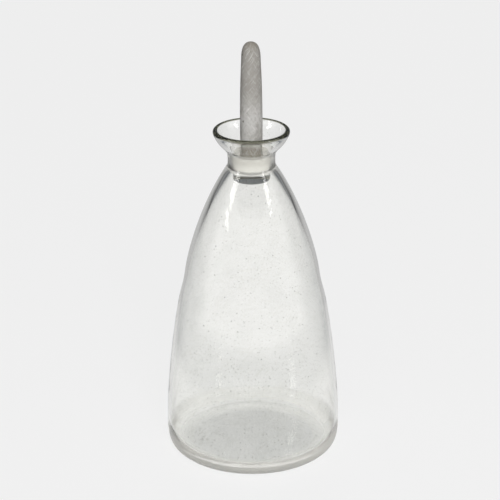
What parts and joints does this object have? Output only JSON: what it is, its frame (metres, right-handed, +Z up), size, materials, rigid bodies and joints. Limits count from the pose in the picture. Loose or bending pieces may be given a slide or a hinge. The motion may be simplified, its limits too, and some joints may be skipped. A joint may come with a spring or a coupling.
{
  "type": "glass carafe",
  "caption": "Tall tapering blown-glass carafe with a short neck and funnel mouth, closed by a ground plug that lifts out by a satin rod handle.",
  "frame": {"origin": "centre of the foot ring, in the plane that the carafe stands on", "axes": "+Z up along the axis of the body, neck and stopper; X and Y are any two square directions, because every piece is turned about Z"},
  "size_m": [0.11, 0.11, 0.2671],
  "materials": {
    "vessel_glass": "clear blown glass with a faint grey-green tint, fine seeds and light wear",
    "plug_glass": "clear solid glass, lightly ground where it meets the bore",
    "satin_glass": "satin-ground, warm grey, with crossing file marks"
  },
  "bodies": {
    "vessel": {"carafe_vessel": "vessel_glass"},
    "stopper": {"stopper_plug": "plug_glass", "stopper_rod": "satin_glass"}
  },
  "joints": [
    {"name": "stopper_lift", "type": "slide", "parent": "vessel", "child": "stopper", "axis": [0, 0, 1], "range_m": [0, 0.06]}
  ]
}
